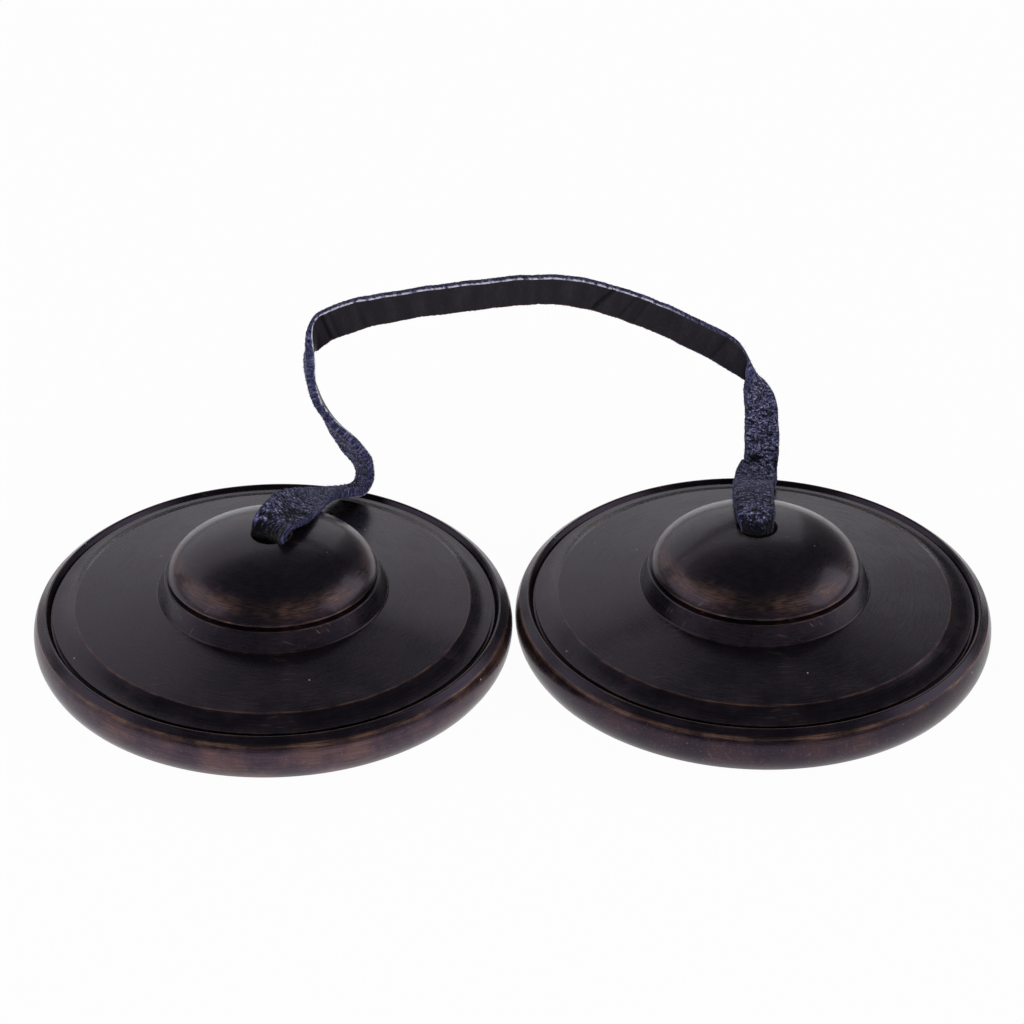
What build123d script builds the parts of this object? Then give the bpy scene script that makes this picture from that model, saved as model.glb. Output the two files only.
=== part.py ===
from build123d import *
import os
from math import acos, cos, degrees, radians, sin, tan

os.makedirs("parts", exist_ok=True)

# A pair of tingsha: two small bronze cymbals joined by one flat leather strap.
# Millimetres, +Z up. The pair stands on the table, Z = 0, with the origin midway
# between the two axes and both axes on the X axis.

# Rim of a cymbal, from the outside in
rim_radius = 32.8
rim_gap = 0.4           # between the two rims where they come closest
foot_inset = 1.2        # the side wall draws in to the table
bulge_height = 3.2      # height of the widest point of the side wall
edge_inset = 0.55
edge_height = 5.4       # worn edge between the side wall and the lip
lip_inset = 1.75
lip_rise = 1.0
lip_round = 0.25
groove_slope = 0.7      # inner side of the lip, in plan
groove_depth = 0.9
groove_floor = 0.3
border_step = 0.5       # small step from the groove up to the border
border_width = 3.05     # hollow sloping ring between groove and crest
border_rise = 1.1
border_hollow = 0.2
foot_round = 0.4

# Plate and bell
plate_rise = 1.7        # the plate climbs from its crest to the boss
plate_wall = 3.0
boss_fillet = 0.25
skirt_height = 2.65
skirt_spread = 1.05
skirt_round = 0.2
ledge_width = 0.4       # the skirt's top stands out past the dome's edge
notch_depth = 0.4       # undercut under the dome's edge
notch_height = 0.55
dome_edge_radius = 14.3
dome_swell = 0.15       # the dome's ellipse swells this far past its edge
dome_rise = 6.85
bell_wall = 2.4
hole_radius = 2.6
hole_round = 0.25

# Underside
strike_width = 4.2      # flat ring that the cymbals are struck on
recess_spread = 1.6

# Strap
strap_thickness = 1.2
neck_width = 4.4        # gathered where it passes the hole
strap_width_end = 5.8
strap_width_top = 4.4
taper_start = 20.0    # from a hole, where the strap begins to narrow
taper_length = 35.0
gather_length = 4.0     # the strap opens to its width over this length
exit_rise = 1.25        # strap's middle above the dome's top at the hole
fold_gap = 0.2          # clearance where two lengths of strap meet at a fold
section_step = 1.3      # spacing of the strap's sections
least_arc_share = 0.45

# Stop knot inside each bell
knot_clearance = 0.5    # under the bell's ceiling
turn_radius = 3.2
turn_thickness = 1.5
turn_height = 3.6
turn_round = 0.5
turn_tilt = 24.0
tail_length = 7.0
tail_tilt = 16.0

# Radii and heights that follow
axis_offset = rim_radius + rim_gap / 2
foot_radius = rim_radius - foot_inset
edge_radius = rim_radius - edge_inset
lip_radius = rim_radius - lip_inset
lip_height = edge_height + lip_rise
groove_radius = lip_radius - groove_slope
groove_height = lip_height - groove_depth
border_radius = groove_radius - groove_floor
border_height = groove_height + border_step
crest_radius = border_radius - border_width
crest_height = border_height + border_rise
skirt_radius = dome_edge_radius + ledge_width
boss_radius = skirt_radius + skirt_spread
boss_height = crest_height + plate_rise
skirt_top = boss_height + skirt_height
dome_edge_height = skirt_top + notch_height
dome_half_width = dome_edge_radius + dome_swell
dome_centre = dome_edge_height - dome_rise * (1 - (dome_edge_radius / dome_half_width) ** 2) ** 0.5
dome_top = dome_centre + dome_rise
bell_radius = dome_half_width - bell_wall
bell_rise = dome_rise - bell_wall
bell_ceiling = dome_centre + bell_rise
strike_radius = foot_radius - strike_width
recess_radius = strike_radius - recess_spread
exit_height = dome_top + exit_rise


def plate_underside(radius):
    """Height of the plate's underside at a radius, one wall under its sloping top."""
    climb = plate_rise / (crest_radius - boss_radius)
    return crest_height + (crest_radius - radius) * climb - plate_wall


def ellipse_angle(radius, half_width):
    """Angle on an ellipse about the axis at which it passes a radius."""
    return degrees(acos(radius / half_width))


def rings(part, radius):
    """Round edges of a turned part that have this radius."""
    return part.edges().filter_by(GeomType.CIRCLE).filter_by(lambda e: abs(e.radius - radius) < 0.01)


# Left cymbal, turned from its half section
left_axis = Axis((-axis_offset, 0, 0), (0, 0, 1))
left_section = Plane(origin=(-axis_offset, 0, 0), x_dir=(1, 0, 0), z_dir=(0, -1, 0))
bell_skirt_radius = bell_radius + skirt_spread
dome_foot_angle = ellipse_angle(dome_edge_radius, dome_half_width)

with BuildPart() as left_cymbal:
    with BuildSketch(left_section):
        with BuildLine():
            ThreePointArc((foot_radius, 0), (rim_radius, bulge_height), (edge_radius, edge_height))
            Polyline(
                (edge_radius, edge_height),
                (lip_radius, lip_height),
                (groove_radius, groove_height),
                (border_radius, groove_height),
                (border_radius, border_height),
            )
            ThreePointArc(
                (border_radius, border_height),
                (border_radius - border_width / 2, border_height + border_rise / 2 - border_hollow),
                (crest_radius, crest_height),
            )
            Polyline(
                (crest_radius, crest_height),
                (boss_radius, boss_height),
                (skirt_radius, skirt_top),
                (dome_edge_radius - notch_depth, skirt_top),
                (dome_edge_radius, dome_edge_height),
            )
            dome = EllipticalCenterArc(
                (0, dome_centre),
                dome_half_width,
                dome_rise,
                dome_foot_angle,
                arc_size=ellipse_angle(hole_radius, dome_half_width) - dome_foot_angle,
            )
            bell = EllipticalCenterArc(
                (0, dome_centre),
                bell_radius,
                bell_rise,
                0,
                arc_size=ellipse_angle(hole_radius, bell_radius),
            )
            Line(dome @ 1, bell @ 1)
            Polyline(
                bell @ 0,
                (bell_skirt_radius, plate_underside(bell_skirt_radius)),
                (recess_radius, plate_underside(recess_radius)),
                (strike_radius, 0),
                (foot_radius, 0),
            )
        make_face()
    revolve(axis=left_axis)
    fillet(rings(left_cymbal, boss_radius), boss_fillet)
    fillet(rings(left_cymbal, skirt_radius), skirt_round)
    fillet(rings(left_cymbal, hole_radius), hole_round)
    fillet(rings(left_cymbal, lip_radius), lip_round)
    fillet(rings(left_cymbal, foot_radius), foot_round)

left_cymbal.part.label = "left_cymbal"
export_step(left_cymbal.part, "parts/left_cymbal.step")

# Right cymbal, the other of the pair
with BuildPart() as right_cymbal:
    mirror(left_cymbal.part, about=Plane.YZ)

right_cymbal.part.label = "right_cymbal"
export_step(right_cymbal.part, "parts/right_cymbal.step")

# Route of the strap's middle from hole to hole, each point with the way that the
# strap's width lies there. It leans back over each dome, folds up behind it, and
# stands on edge between the cymbals.
left_fold_way = (0.88, -0.475, 0)
right_fold_way = (-1, 0, 0)
strap_route = [
    ((-axis_offset, 0, exit_height), left_fold_way),
    ((-31.0, 3.8, 19.3), (0.84, -0.44, -0.32)),
    ((-28.4, 9.2, 17.8), (0.84, -0.44, -0.32)),
    ((-25.1, 15.2, 14.8), (0.80, -0.58, 0.10)),
    ((-22.8, 19.5, 12.2), (0.55, -0.78, 0.28)),
    ((-21.4, 22.4, 10.5), (0.32, -0.90, 0.32)),
    ((-20.5, 24.0, 10.8), (0.25, -0.93, 0.28)),
    ((-20.3, 25.0, 12.3), (0.40, -0.90, 0.15)),
    ((-21.4, 25.3, 14.8), (0.70, -0.70, 0.10)),
    ((-23.2, 25.1, 17.7), (0.65, -0.75, 0.10)),
    ((-25.3, 24.9, 20.9), (0.34, -0.94, 0.05)),
    ((-27.1, 24.7, 24.5), (0.15, -0.99, 0)),
    ((-27.9, 24.5, 28.2), (0.12, -0.99, 0)),
    ((-27.8, 24.4, 31.2), (0.10, -0.97, 0.20)),
    ((-27.4, 24.3, 33.8), (-0.18, -0.55, 0.82)),
    ((-26.2, 24.2, 35.8), (-0.33, -0.10, 0.94)),
    ((-23.6, 24.2, 37.2), (-0.30, 0, 0.95)),
    ((-18.8, 24.1, 38.8), (-0.24, 0, 0.97)),
    ((-11.0, 24.3, 39.9), (-0.12, 0, 0.99)),
    ((-3.0, 24.5, 40.9), (-0.10, 0, 0.99)),
    ((4.6, 24.7, 41.5), (0, 0, 1)),
    ((11.3, 24.9, 40.5), (0.30, 0, 0.95)),
    ((19.8, 25.1, 37.1), (0.40, 0, 0.92)),
    ((28.0, 25.3, 32.5), (0.45, 0, 0.89)),
    ((32.6, 25.4, 29.2), (0.45, -0.22, 0.86)),
    ((34.8, 25.5, 26.4), (0.10, -0.90, 0.40)),
    ((35.8, 25.6, 22.8), (-0.85, -0.50, 0.10)),
    ((36.1, 25.7, 18.0), (-1, -0.12, 0)),
    ((36.2, 25.9, 13.6), (-1, 0, 0)),
    ((35.9, 25.3, 11.4), (-1, 0, 0)),
    ((35.7, 23.9, 10.5), (-1, 0, 0)),
    ((35.4, 22.0, 10.9), (-1, -0.05, 0)),
    ((34.8, 18.6, 12.9), (-1, -0.07, 0)),
    ((34.1, 13.8, 15.5), (-1, -0.09, 0)),
    ((33.5, 8.6, 17.8), (-1, -0.08, 0)),
    ((axis_offset, 3.8, 19.1), (-1, 0, 0)),
    ((axis_offset, 0, exit_height), right_fold_way),
]

points = [Vector(*point) for point, way in strap_route]
ways = [Vector(*way).normalized() for point, way in strap_route]
runs = [after - before for before, after in zip(points, points[1:])]
turns = [first.get_angle(second) for first, second in zip(runs, runs[1:])]
cuts = [least_arc_share * min(first.length, second.length) for first, second in zip(runs, runs[1:])]
radii = [cut / tan(radians(turn / 2)) for cut, turn in zip(cuts, turns)]
print("strap corner radii:", [round(radius, 1) for radius in radii])

with BuildLine() as strap_line:
    FilletPolyline(*points, radius=radii)
strap_wire = strap_line.wires()[0]
strap_length = strap_wire.length
print("strap length from hole to hole:", round(strap_length, 1))

# Distance along the strap at which it rounds each point of its route
arcs = [0, *[radius * radians(turn) for radius, turn in zip(radii, turns)], 0]
ends = [0, *cuts, 0]
point_at = [0]
for i, run in enumerate(runs):
    straight = run.length - ends[i] - ends[i + 1]
    point_at.append(point_at[-1] + arcs[i] / 2 + straight + arcs[i + 1] / 2)

# The strap is held and folds at its crown, the place where the upper run is level,
# about half way along it
crown_point = max(range(len(points)), key=lambda i: points[i].Z)
crown_at = point_at[crown_point]
crown_reach = arcs[crown_point] / 2
for halving in range(30):
    rising = strap_wire.tangent_at(crown_at, PositionMode.LENGTH).Z > 0
    crown_reach = crown_reach / 2
    crown_at = crown_at + crown_reach if rising else crown_at - crown_reach
crown = strap_wire.position_at(crown_at, PositionMode.LENGTH)
print("crown of the strap:", crown_at, crown.X, crown.Y, crown.Z)
print("height of the fold at the holes:", exit_height)


def strap_plane(distance):
    """Plane square to the strap at a distance from the left hole, X across its width."""
    i = max(k for k, at in enumerate(point_at[:-1]) if at <= distance + 1e-6)
    share = (distance - point_at[i]) / (point_at[i + 1] - point_at[i])
    way = ways[i] * (1 - share) + ways[i + 1] * share
    along = strap_wire.tangent_at(distance, PositionMode.LENGTH)
    across = way - along * way.dot(along)
    middle = strap_wire.position_at(distance, PositionMode.LENGTH)
    return Plane(origin=middle, x_dir=across, z_dir=along)


def strap_width(distance):
    """Width of the strap: gathered at both holes, drawn narrower along its upper run."""
    from_hole = min(distance, strap_length - distance)
    drawn = min(max(from_hole - taper_start, 0) / taper_length, 1)
    full = strap_width_end * (1 - drawn) + strap_width_top * drawn
    opened = min(from_hole, gather_length) / gather_length
    return neck_width + (full - neck_width) * opened


def stations(start, end):
    """Evenly spaced distances along a length of strap."""
    count = round((end - start) / section_step)
    return [start + (end - start) * i / count for i in range(count + 1)]


def fold_plane(distance, turned):
    """Plane across the hinge line of a fold, its X out of the strap's end."""
    end = strap_plane(distance)
    return Plane(origin=end.origin, x_dir=end.z_dir * turned, z_dir=end.x_dir)


# Left half of the strap, from its fold at the left hole to the crown
strap_left_end = crown_at - strap_thickness / 2 - fold_gap
with BuildPart() as strap_left:
    for distance in stations(0, strap_left_end):
        with BuildSketch(strap_plane(distance)):
            Rectangle(strap_width(distance), strap_thickness)
    loft(ruled=True)
    with BuildSketch(fold_plane(0, -1)):
        with BuildLine():
            CenterArc((0, 0), strap_thickness / 2, -90, 180)
            Line((0, strap_thickness / 2), (0, -strap_thickness / 2))
        make_face()
    extrude(amount=neck_width / 2, both=True)

strap_left.part.label = "strap_left"
export_step(strap_left.part, "parts/strap_left.step")
print("strap_left volume over section times length:", round(
    strap_left.part.volume / (strap_left_end * strap_thickness * strap_width(strap_left_end / 2)), 3))

# Right half of the strap, from the crown to its fold at the right hole
with BuildPart() as strap_right:
    for distance in stations(crown_at, strap_length):
        with BuildSketch(strap_plane(distance)):
            Rectangle(strap_width(distance), strap_thickness)
    loft(ruled=True)
    for distance, turned in ((crown_at, -1), (strap_length, 1)):
        with BuildSketch(fold_plane(distance, turned)):
            with BuildLine():
                CenterArc((0, 0), strap_thickness / 2, -90, 180)
                Line((0, strap_thickness / 2), (0, -strap_thickness / 2))
            make_face()
        extrude(amount=strap_width(distance) / 2, both=True)

strap_right.part.label = "strap_right"
export_step(strap_right.part, "parts/strap_right.step")
print("strap_right volume over section times length:", round(
    strap_right.part.volume
    / ((strap_length - crown_at) * strap_thickness * strap_width((strap_length + crown_at) / 2)), 3))

# Stop knots: the strap's end drawn tight in two crossing turns about its neck
knot_reach = turn_height / 2 * cos(radians(turn_tilt))
knot_reach = knot_reach + (turn_radius + turn_thickness / 2) * sin(radians(turn_tilt))
knot_height = bell_ceiling - knot_clearance - knot_reach
neck_top = exit_height - strap_thickness / 2 - fold_gap


def knot_plane(axis_x, way, tilt):
    """Plane through a knot's middle, X across the strap, Z up and tilted about X."""
    across = Vector(*way).normalized()
    back = Vector(0, 0, 1).cross(across)
    up = Vector(0, 0, 1) * cos(radians(tilt)) + back * sin(radians(tilt))
    return Plane(origin=(axis_x, 0, knot_height), x_dir=across, z_dir=up)


with BuildPart() as left_knot:
    with BuildSketch(knot_plane(-axis_offset, left_fold_way, 0)):
        Rectangle(neck_width, strap_thickness)
    extrude(amount=neck_top - knot_height)
    for tilt in (turn_tilt, -turn_tilt):
        turn = knot_plane(-axis_offset, left_fold_way, tilt)
        with BuildSketch(Plane(origin=turn.origin, x_dir=turn.x_dir, z_dir=-turn.y_dir)):
            with Locations((turn_radius, 0)):
                RectangleRounded(turn_thickness, turn_height, turn_round)
        revolve(axis=Axis(turn.origin, turn.z_dir))
    with BuildSketch(knot_plane(-axis_offset, left_fold_way, 0)):
        Circle(turn_radius)
    extrude(amount=turn_height / 3, both=True)
    with BuildSketch(knot_plane(-axis_offset, left_fold_way, tail_tilt)):
        Rectangle(strap_width_end, strap_thickness)
    extrude(amount=-tail_length)

left_knot.part.label = "left_knot"
export_step(left_knot.part, "parts/left_knot.step")

with BuildPart() as right_knot:
    with BuildSketch(knot_plane(axis_offset, right_fold_way, 0)):
        Rectangle(neck_width, strap_thickness)
    extrude(amount=neck_top - knot_height)
    for tilt in (turn_tilt, -turn_tilt):
        turn = knot_plane(axis_offset, right_fold_way, tilt)
        with BuildSketch(Plane(origin=turn.origin, x_dir=turn.x_dir, z_dir=-turn.y_dir)):
            with Locations((turn_radius, 0)):
                RectangleRounded(turn_thickness, turn_height, turn_round)
        revolve(axis=Axis(turn.origin, turn.z_dir))
    with BuildSketch(knot_plane(axis_offset, right_fold_way, 0)):
        Circle(turn_radius)
    extrude(amount=turn_height / 3, both=True)
    with BuildSketch(knot_plane(axis_offset, right_fold_way, tail_tilt)):
        Rectangle(strap_width_end, strap_thickness)
    extrude(amount=-tail_length)

right_knot.part.label = "right_knot"
export_step(right_knot.part, "parts/right_knot.step")

for piece in (left_cymbal, right_cymbal, strap_left, strap_right, left_knot, right_knot):
    solids = piece.part.solids()
    print(piece.part.label, len(solids), "solid", piece.part.is_valid, round(piece.part.volume), "mm3")
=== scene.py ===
import logging
import math
import random
from dataclasses import dataclass, field
from enum import Enum
from typing import Any, Callable, Sequence

import bpy
import numpy as np
from mathutils import Matrix, Vector, noise


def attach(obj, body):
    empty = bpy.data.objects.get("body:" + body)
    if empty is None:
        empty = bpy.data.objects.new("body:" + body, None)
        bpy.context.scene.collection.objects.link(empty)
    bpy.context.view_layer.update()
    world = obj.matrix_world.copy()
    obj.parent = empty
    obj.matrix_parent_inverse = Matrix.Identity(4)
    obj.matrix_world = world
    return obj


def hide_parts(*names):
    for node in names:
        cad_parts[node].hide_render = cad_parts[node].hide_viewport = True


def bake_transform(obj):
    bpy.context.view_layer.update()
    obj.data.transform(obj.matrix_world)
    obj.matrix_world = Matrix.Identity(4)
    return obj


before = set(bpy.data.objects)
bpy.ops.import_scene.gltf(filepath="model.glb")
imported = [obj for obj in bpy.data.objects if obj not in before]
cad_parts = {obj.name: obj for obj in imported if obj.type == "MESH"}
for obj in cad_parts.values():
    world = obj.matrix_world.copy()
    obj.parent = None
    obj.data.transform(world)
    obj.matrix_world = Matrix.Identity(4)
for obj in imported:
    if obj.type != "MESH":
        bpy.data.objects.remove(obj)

# Short names of types
Tree = bpy.types.NodeTree
Socket = bpy.types.NodeSocket
Span = tuple[float, float]
Point = tuple[float, float, float]

LOG = logging.getLogger("tingsha")
MM = 0.001
# Each cymbal's axis stands this far from the middle of the pair, in metres
AXIS_OFFSET = 33.0 * MM
# The strap's map is in millimetres. The grain side lies this far up in it, and the cut edges this far
# out: the upper one up, the lower one down
GRAIN_SHIFT = 20.0
EDGE_SHIFT = 40.0
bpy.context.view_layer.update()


class Side(Enum):
    """The two cymbals of the pair, as the viewer sees them."""

    LEFT = "left"
    RIGHT = "right"

    @property
    def sign(self) -> float:
        """-1 for the left cymbal and +1 for the right one."""
        return -1.0 if self is Side.LEFT else 1.0


class Face(Enum):
    """Faces of the strap, numbered as its material slots."""

    SUEDE = 0
    GRAIN = 1
    CUT_EDGE = 2


def linear(hex_colour: str) -> tuple[float, float, float, float]:
    """Turns an sRGB hex colour to linear.

    Args:
        hex_colour: six hex digits, such as "2b2d44".

    Returns:
        Linear red, green, blue and an alpha of 1.
    """
    channels = [int(hex_colour[i:i + 2], 16) / 255 for i in (0, 2, 4)]
    straight = [c / 12.92 if c <= 0.04045 else ((c + 0.055) / 1.055) ** 2.4 for c in channels]
    return (*straight, 1.0)


def add_node(tree: Tree, kind: str, inputs: dict | None = None, **settings: Any) -> bpy.types.Node:
    """Adds a node with its settings and links.

    Args:
        tree: node tree that the node goes into.
        kind: Blender's name of the node type.
        inputs: socket name or number to a value, or to the output socket that feeds it.
        settings: the node's own properties.

    Returns:
        The new node.
    """
    node = tree.nodes.new(kind)
    for name, value in settings.items():
        setattr(node, name, value)
    for key, value in (inputs or {}).items():
        if isinstance(value, Socket):
            tree.links.new(value, node.inputs[key])
        else:
            node.inputs[key].default_value = value
    return node


def chain(tree: Tree, operation: str, *values: Socket | float) -> Socket:
    """Joins numbers by the same sum, one after another.

    Args:
        tree: node tree of the finish.
        operation: Blender's name of the sum.
        values: the numbers, or the sockets that give them.

    Returns:
        The result.
    """
    result = values[0]
    for value in values[1:]:
        result = add_node(tree, "ShaderNodeMath", {0: result, 1: value}, operation=operation).outputs[0]
    return result


def join_vectors(tree: Tree, operation: str, *values: Socket | Point) -> Socket:
    """Adds a sum of vectors, which gives a number for a length or a distance and otherwise a vector."""
    node = add_node(tree, "ShaderNodeVectorMath", dict(enumerate(values)), operation=operation)
    return node.outputs["Value" if operation in ("LENGTH", "DISTANCE") else "Vector"]


def remap(
    tree: Tree, value: Socket, source: Span, target: Span = (0.0, 1.0), shape: str = "LINEAR",
) -> Socket:
    """Maps a number from one range to another, and holds it at the ends."""
    inputs = {0: value, 1: source[0], 2: source[1], 3: target[0], 4: target[1]}
    return add_node(tree, "ShaderNodeMapRange", inputs, interpolation_type=shape).outputs[0]


def speckle(
    tree: Tree, place: Socket, size: float, detail: float, roughness: float = 0.5, distortion: float = 0.0,
) -> Socket:
    """Adds plain noise about 0.5, in patches of a size in the unit of the place."""
    inputs = {"Vector": place, "Scale": 1 / size, "Detail": detail}
    inputs |= {"Roughness": roughness, "Distortion": distortion}
    return add_node(tree, "ShaderNodeTexNoise", inputs).outputs["Fac"]


def average(tree: Tree, share: float, first: Socket, second: Socket) -> Socket:
    """Mixes two numbers, with a share of the second one."""
    return add_node(tree, "ShaderNodeMix", {0: share, 2: first, 3: second}, data_type="FLOAT").outputs[0]


def tint(tree: Tree, share: Socket | float, base: Socket | str, over: Socket | str) -> Socket:
    """Mixes a colour over another, each a socket or in hex."""
    lower, upper = (linear(colour) if isinstance(colour, str) else colour for colour in (base, over))
    return add_node(tree, "ShaderNodeMix", {0: share, 6: lower, 7: upper}, data_type="RGBA").outputs[2]


def shade(tree: Tree, colour: Socket, level: Socket) -> Socket:
    """Makes a colour lighter or darker by a factor."""
    return add_node(tree, "ShaderNodeVectorMath", {0: colour, 3: level}, operation="SCALE").outputs[0]


def ramp(tree: Tree, place: Socket, stops: Sequence[float], colours: Sequence[str]) -> Socket:
    """Adds a colour ramp.

    Args:
        tree: node tree of the finish.
        place: place on the ramp, from 0 to 1.
        stops: place of each stop, in order.
        colours: hex colour of each stop.

    Returns:
        The colour.
    """
    node = add_node(tree, "ShaderNodeValToRGB", {0: place})
    elements = node.color_ramp.elements
    while len(elements) < len(stops):
        elements.new(1.0)
    for element, stop, colour in zip(elements, stops, colours):
        element.position = stop
        element.color = linear(colour)
    return node.outputs["Color"]


def emboss(tree: Tree, shader: bpy.types.Node, height: Socket, strength: float, depth: float) -> None:
    """Gives a finish its fine relief, with a depth in millimetres."""
    inputs = {"Height": height, "Strength": strength, "Distance": depth * MM}
    tree.links.new(add_node(tree, "ShaderNodeBump", inputs).outputs[0], shader.inputs["Normal"])


def new_material(name: str, **constants: Any) -> tuple[bpy.types.Material, Tree, bpy.types.Node]:
    """Starts a node material.

    Args:
        name: the finish's plain name.
        constants: values of the shader's inputs, named with underscores for spaces.

    Returns:
        The material, its node tree and its Principled shader.
    """
    material = bpy.data.materials.new(name)
    material.use_nodes = True
    tree = material.node_tree
    shader = tree.nodes["Principled BSDF"]
    for key, value in constants.items():
        shader.inputs[key.replace("_", " ")].default_value = value
    return material, tree, shader


@dataclass(frozen=True)
class WornRing:
    """A ring on the cymbal where handling has rubbed the dark patina thin.

    Radius, height and reach are in millimetres; strength is from 0 to 1.
    """

    radius: float
    height: float
    reach: float
    strength: float


@dataclass(frozen=True)
class ScratchRun:
    """Scratches that lie one way: their turn in radians and their length in millimetres."""

    turn: float
    length: float


@dataclass(frozen=True)
class PatinatedBronze:
    """Cast bronze, turned on a lathe and darkened: near black, satin, with fine rings of tool marks.

    The patina is a thin oxide over metal, so the eye sees a dark coat with a soft gloss,
    and warm metal only where an edge is rubbed. Sizes are in millimetres. Stops and spans are
    levels of noise, which lies about 0.5.
    """

    patina: str = "0f0d11"
    patina_deep: str = "08070a"
    patina_warm: str = "20171a"
    patina_stops: Point = (0.32, 0.52, 0.74)
    rubbed: str = "94705c"
    wall_tone: str = "30242a"
    wall_warm: str = "57403a"
    wall_stops: Span = (0.42, 0.66)
    grit: str = "8e8284"
    grit_span: Span = (0.62, 0.76)
    grit_strength: float = 0.55
    gloss_tint: str = "ecd0ff"

    # Real lathe marks and scratches are finer: these are as wide as it takes for them to show
    ring_spacing: float = 0.22
    ring_breaks: float = 7.0
    mark_span: Span = (0.3, 0.7)
    mark_shade: Span = (0.45, 1.6)
    scratch: str = "5c5358"
    scratch_width: float = 0.14
    scratch_depth: float = 2.0
    scratch_span: Span = (0.70, 0.78)
    scratch_strength: float = 0.8
    scratched_span: Span = (0.50, 0.60)
    scratch_runs: tuple[ScratchRun, ...] = (ScratchRun(0.6, 5.0), ScratchRun(-1.1, 3.5))

    patch_size: float = 6.0
    grain_size: float = 0.22
    noise_roughness: float = 0.62
    dust: str = "c9c4c4"
    dust_spacing: float = 2.6
    dust_size: Span = (0.025, 0.055)
    dust_strength: float = 0.8
    dust_free: float = 0.72

    wall_starts: float = 31.6
    wall_fade: float = 0.6
    wall_top: float = 5.2
    wall_shoulder: float = 1.0
    wall_brim: float = 0.2
    # Share of the wall's tone on its shoulder: the darker band there is a painted reflection
    shoulder_painted_reflection_share: float = 0.25
    dome_edge: float = 14.4
    dome_fade: float = 1.5
    dome_roughness: float = 0.33
    plate_roughness: float = 0.27
    mottle_span: Span = (0.35, 0.65)
    mottle: float = 0.10
    dome_polish: float = 0.20
    plate_polish: float = 0.07
    grain_relief: float = 0.6
    relief: float = 0.16
    relief_depth: float = 0.05

    hold_span: Span = (0.40, 0.62)
    hold_in_patches: float = 0.15
    hold_in_rings: float = 0.12
    worn: tuple[WornRing, ...] = (
        WornRing(27.0, 7.1, 0.24, 0.65),
        WornRing(30.05, 6.0, 0.16, 0.45),
        WornRing(31.05, 6.4, 0.28, 0.60),
        WornRing(32.25, 5.4, 0.45, 0.85),
        WornRing(14.3, 12.0, 0.30, 0.70),
        WornRing(13.5, 14.2, 2.20, 0.42),
        WornRing(14.7, 11.45, 0.18, 0.35),
        WornRing(15.75, 8.8, 0.20, 0.10),
        WornRing(2.75, 17.7, 0.28, 1.00),
        WornRing(31.4, 0.2, 0.60, 0.40),
    )

    def material(self, side: Side) -> bpy.types.Material:
        """Makes the finish for one cymbal.

        Args:
            side: which cymbal it is for.

        Returns:
            The material.
        """
        material, tree, shader = new_material(
            f"patinated_bronze_{side.value}", Coat_Roughness=0.14, Specular_IOR_Level=0.38,
            Specular_Tint=linear(self.gloss_tint), Anisotropic=0.35,
        )
        place = add_node(tree, "ShaderNodeTexCoord").outputs["Object"]
        to_axis = (-side.sign * AXIS_OFFSET, 0, 0)
        centred = add_node(tree, "ShaderNodeMapping", {"Vector": place, "Location": to_axis}).outputs[0]
        level = join_vectors(tree, "MULTIPLY", centred, (1, 1, 0))
        heading = join_vectors(tree, "NORMALIZE", level)
        radius = join_vectors(tree, "LENGTH", level)
        height = add_node(tree, "ShaderNodeSeparateXYZ", {0: centred}).outputs["Z"]

        rings = self.tool_marks(tree, heading, radius, height)
        patches = speckle(tree, centred, self.patch_size * MM, detail=5.0, roughness=self.noise_roughness)
        grain = speckle(tree, centred, self.grain_size * MM, detail=3.0, roughness=self.noise_roughness)
        rubbed = self.rub(tree, radius, height, patches, rings)
        wall = self.wall(tree, radius, height)

        tone = ramp(tree, patches, self.patina_stops, (self.patina_deep, self.patina, self.patina_warm))
        tone = tint(tree, wall, tone, ramp(tree, patches, self.wall_stops, (self.wall_tone, self.wall_warm)))
        gritty = remap(tree, grain, self.grit_span, (0.0, self.grit_strength))
        tone = tint(tree, chain(tree, "MULTIPLY", gritty, wall), tone, self.grit)
        tone = shade(tree, tone, remap(tree, rings, self.mark_span, self.mark_shade))
        tone = tint(tree, rubbed, tone, self.rubbed)
        tone = tint(tree, self.scratches(tree, centred, patches), tone, self.scratch)
        tone = tint(tree, self.specks(tree, centred), tone, self.dust)
        tree.links.new(tone, shader.inputs["Base Color"])
        tree.links.new(rubbed, shader.inputs["Metallic"])

        off_dome = (self.dome_edge * MM, (self.dome_edge + self.dome_fade) * MM)
        uneven = average(tree, 0.5, rings, patches)
        mottled = remap(tree, uneven, self.mottle_span, (-self.mottle, self.mottle))
        roughness = remap(tree, radius, off_dome, (self.dome_roughness, self.plate_roughness))
        tree.links.new(chain(tree, "ADD", mottled, roughness), shader.inputs["Roughness"])
        polish = remap(tree, radius, off_dome, (self.dome_polish, self.plate_polish))
        tree.links.new(polish, shader.inputs["Coat Weight"])

        marks = {0: grain, 1: self.grain_relief, 2: rings}
        bumps = add_node(tree, "ShaderNodeMath", marks, operation="MULTIPLY_ADD").outputs[0]
        emboss(tree, shader, bumps, self.relief, self.relief_depth)
        turned = add_node(
            tree, "ShaderNodeVectorTransform", {0: join_vectors(tree, "CROSS_PRODUCT", (0, 0, 1), heading)},
            vector_type="VECTOR", convert_from="OBJECT", convert_to="WORLD",
        ).outputs[0]
        tree.links.new(turned, shader.inputs["Tangent"])
        return material

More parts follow.
